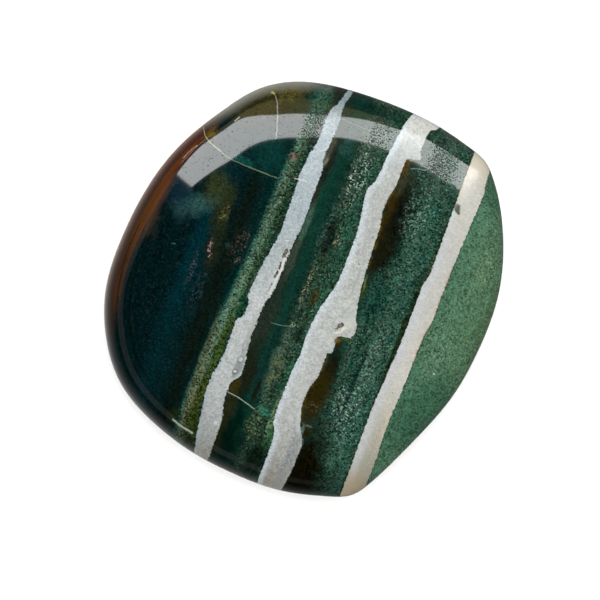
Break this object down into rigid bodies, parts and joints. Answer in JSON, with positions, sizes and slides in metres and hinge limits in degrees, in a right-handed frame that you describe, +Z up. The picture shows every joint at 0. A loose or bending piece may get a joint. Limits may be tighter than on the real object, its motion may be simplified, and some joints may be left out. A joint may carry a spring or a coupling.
{
  "type": "sardonyx touchstone",
  "caption": "Palm-sized polished pebble of banded green and white stone, cushion shaped, with one bevelled side, lying on a small flat base.",
  "frame": {"origin": "under the middle of the stone, on the surface it rests on", "axes": "+Z up from the flat base, +X towards the bevelled side, +Y towards the back edge, where the widest line runs lowest"},
  "size_m": [0.04, 0.0415, 0.011],
  "materials": {
    "polished_stone": "high polish; dark teal and moss green chalcedony with three white bands and a red-brown edge"
  },
  "bodies": {
    "root": {"touchstone": "polished_stone"}
  },
  "joints": []
}
